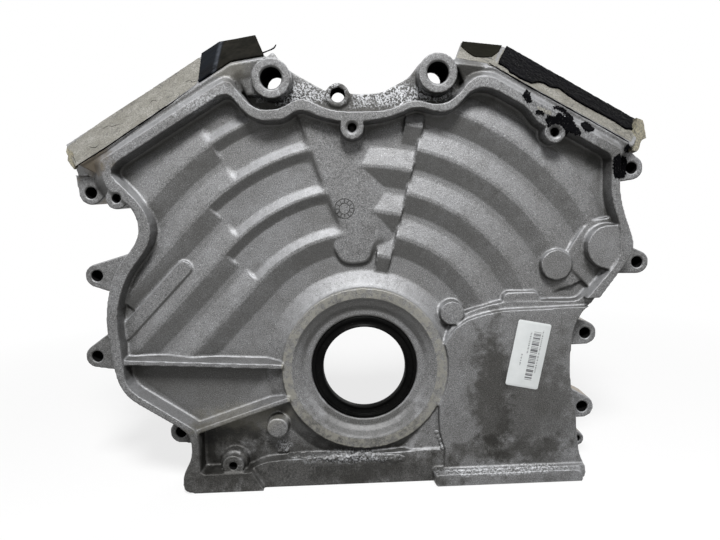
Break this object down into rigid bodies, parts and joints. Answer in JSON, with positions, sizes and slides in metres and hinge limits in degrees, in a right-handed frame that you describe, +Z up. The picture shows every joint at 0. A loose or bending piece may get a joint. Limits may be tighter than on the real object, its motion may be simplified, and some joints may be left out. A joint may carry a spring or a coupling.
{
  "type": "engine timing cover",
  "caption": "Cast aluminium front timing cover of a V engine with two inclined head faces, a crankshaft seal and a rippled recessed wall.",
  "frame": {"origin": "on the oil-pan face, straight under the crankshaft axis, 9 mm behind the front plane of the rail", "axes": "+X to the right seen from the front of the engine, +Y from the cover to the cylinder block, +Z up; the crankshaft axis runs along Y at z = 101.5 mm"},
  "size_m": [0.5008, 0.051, 0.3847],
  "materials": {
    "cast_aluminium": "grey sand or die cast skin, used and a little oily",
    "black_rubber": "satin black rubber",
    "spring_steel": "plain steel wire",
    "white_paper": "matt white sticker",
    "dull_rubber": "worn matt rubber film"
  },
  "bodies": {
    "root": {"timing_cover_casting": "cast_aluminium", "crank_seal": "black_rubber", "seal_garter_spring": "spring_steel", "part_label": "white_paper", "left_gasket_remnant": "black_rubber", "right_gasket_remnant": "black_rubber", "right_apex_gasket_patch": "dull_rubber"}
  },
  "joints": []
}
